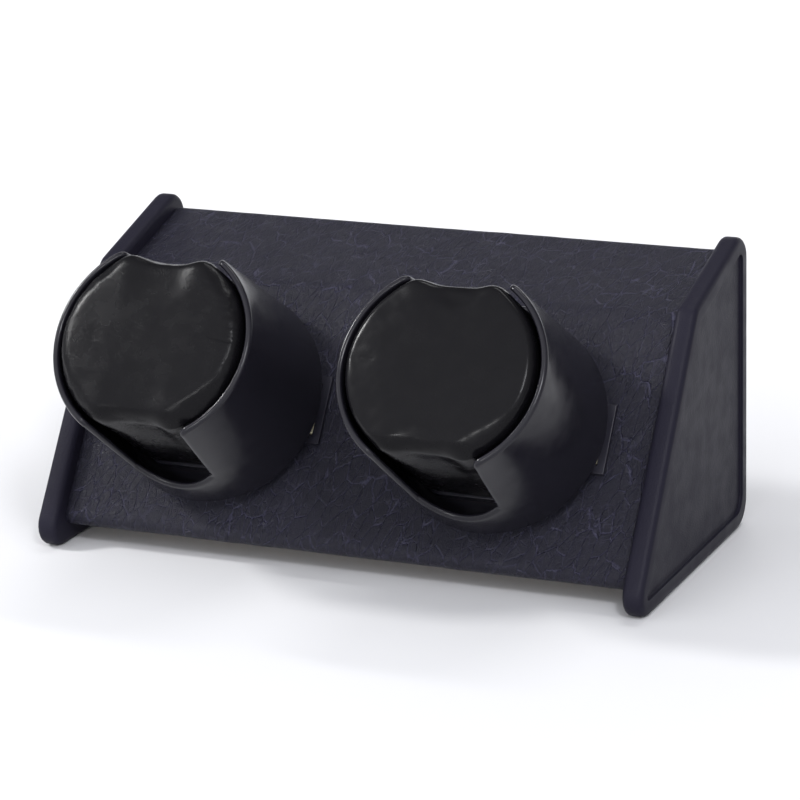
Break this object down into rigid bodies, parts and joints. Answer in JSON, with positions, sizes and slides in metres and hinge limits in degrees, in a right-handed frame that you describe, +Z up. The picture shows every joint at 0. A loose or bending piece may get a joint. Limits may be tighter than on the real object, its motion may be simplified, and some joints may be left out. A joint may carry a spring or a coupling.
{
  "type": "watch winder",
  "caption": "Leather-covered watch winder: sloping case between moulded end plates, with motor-driven rotating cups that hold soft watch cuffs.",
  "frame": {"origin": "on the table, under the middle of the whole outline's box", "axes": "+X to the right seen from the front, +Y to the back, +Z up; the cups face -Y and up"},
  "size_m": [0.24, 0.1568, 0.1192],
  "materials": {
    "end_plate_plastic": "satin moulded, fine texture",
    "leather": "pebbled leatherette with creases",
    "cup_plastic": "smooth satin black",
    "cuff_leather": "soft smooth leather",
    "foam": "grey foam",
    "board_wood": "fibreboard",
    "black_plastic": "fine moulded texture",
    "housing_plastic": "off-white moulded",
    "gear_plastic": "natural acetal",
    "knob_plastic": "cream",
    "steel": "zinc-plated",
    "brass": "sintered bronze and brass",
    "cell_wrap": "printed sleeve without marks",
    "board_green": "solder-resist",
    "wire": "soft insulation"
  },
  "bodies": {
    "case": {"left_end_plate": "end_plate_plastic", "right_end_plate": "end_plate_plastic", "left_end_board": "board_wood", "right_end_board": "board_wood", "front_panel": "board_wood", "top_panel": "board_wood", "bottom_panel": "board_wood", "back_panel": "black_plastic", "leather_cover": "leather", "end_plate_screws": "steel", "back_screws": "steel", "battery_tray": "black_plastic", "battery_cells": "cell_wrap", "battery_contacts": "steel", "power_inlet": "black_plastic", "wiring": "wire", "left_bezel": "black_plastic", "left_gearcase": "housing_plastic", "left_gearcase_cover": "housing_plastic", "left_gearcase_screws": "steel", "left_motor": "steel", "left_idler_pin": "steel", "left_front_bush": "brass", "left_rear_bush": "brass", "left_switch_body": "black_plastic", "left_control_board": "board_green", "right_bezel": "black_plastic", "right_gearcase": "housing_plastic", "right_gearcase_cover": "housing_plastic", "right_gearcase_screws": "steel", "right_motor": "steel", "right_idler_pin": "steel", "right_front_bush": "brass", "right_rear_bush": "brass", "right_switch_body": "black_plastic", "right_control_board": "board_green"},
    "battery_door": {"battery_door": "black_plastic"},
    "left_cup": {"left_cup": "cup_plastic", "left_cup_screw": "steel", "left_output_shaft": "steel", "left_drive_gear": "gear_plastic", "left_circlip": "steel"},
    "left_cuff": {"left_cuff_cover": "cuff_leather", "left_cuff_foam": "foam", "left_cuff_base": "black_plastic"},
    "left_idler": {"left_idler_gear": "gear_plastic"},
    "left_motor_pinion": {"left_motor_pinion": "brass"},
    "left_switch_knob": {"left_switch_knob": "knob_plastic"},
    "right_cup": {"right_cup": "cup_plastic", "right_cup_screw": "steel", "right_output_shaft": "steel", "right_drive_gear": "gear_plastic", "right_circlip": "steel"},
    "right_cuff": {"right_cuff_cover": "cuff_leather", "right_cuff_foam": "foam", "right_cuff_base": "black_plastic"},
    "right_idler": {"right_idler_gear": "gear_plastic"},
    "right_motor_pinion": {"right_motor_pinion": "brass"},
    "right_switch_knob": {"right_switch_knob": "knob_plastic"}
  },
  "joints": [
    {"name": "battery_door_swing", "type": "hinge", "parent": "case", "child": "battery_door", "pos_m": [0, 0.06847, 0.0632], "axis": [-1, 0, 0], "range_deg": [0, 100]},
    {"name": "left_cup_spin", "type": "hinge", "parent": "case", "child": "left_cup", "pos_m": [-0.0555, -0.00284, 0.05339], "axis": [0, -0.8281, 0.5606], "continuous": true},
    {"name": "left_cuff_pull", "type": "slide", "parent": "left_cup", "child": "left_cuff", "axis": [0, -0.8281, 0.5606], "range_m": [0, 0.07]},
    {"name": "left_idler_spin", "type": "hinge", "parent": "case", "child": "left_idler", "pos_m": [-0.0827, -0.00284, 0.05339], "axis": [0, -0.8281, 0.5606], "continuous": true},
    {"name": "left_motor_spin", "type": "hinge", "parent": "case", "child": "left_motor_pinion", "pos_m": [-0.0827, 0.00557, 0.06582], "axis": [0, -0.8281, 0.5606], "continuous": true},
    {"name": "left_switch_slide", "type": "slide", "parent": "case", "child": "left_switch_knob", "axis": [0, 0.5606, 0.8281], "range_m": [0, 0.0116]},
    {"name": "right_cup_spin", "type": "hinge", "parent": "case", "child": "right_cup", "pos_m": [0.0555, -0.00284, 0.05339], "axis": [0, -0.8281, 0.5606], "continuous": true},
    {"name": "right_cuff_pull", "type": "slide", "parent": "right_cup", "child": "right_cuff", "axis": [0, -0.8281, 0.5606], "range_m": [0, 0.07]},
    {"name": "right_idler_spin", "type": "hinge", "parent": "case", "child": "right_idler", "pos_m": [0.0283, -0.00284, 0.05339], "axis": [0, -0.8281, 0.5606], "continuous": true},
    {"name": "right_motor_spin", "type": "hinge", "parent": "case", "child": "right_motor_pinion", "pos_m": [0.0283, 0.00557, 0.06582], "axis": [0, -0.8281, 0.5606], "continuous": true},
    {"name": "right_switch_slide", "type": "slide", "parent": "case", "child": "right_switch_knob", "axis": [0, 0.5606, 0.8281], "range_m": [0, 0.0116]}
  ],
  "couplings": [
    {"joint": "left_idler_spin", "follows": "left_cup_spin", "ratio": -3.8571},
    {"joint": "left_motor_spin", "follows": "left_cup_spin", "ratio": 15.429},
    {"joint": "right_idler_spin", "follows": "right_cup_spin", "ratio": -3.8571},
    {"joint": "right_motor_spin", "follows": "right_cup_spin", "ratio": 15.429}
  ]
}
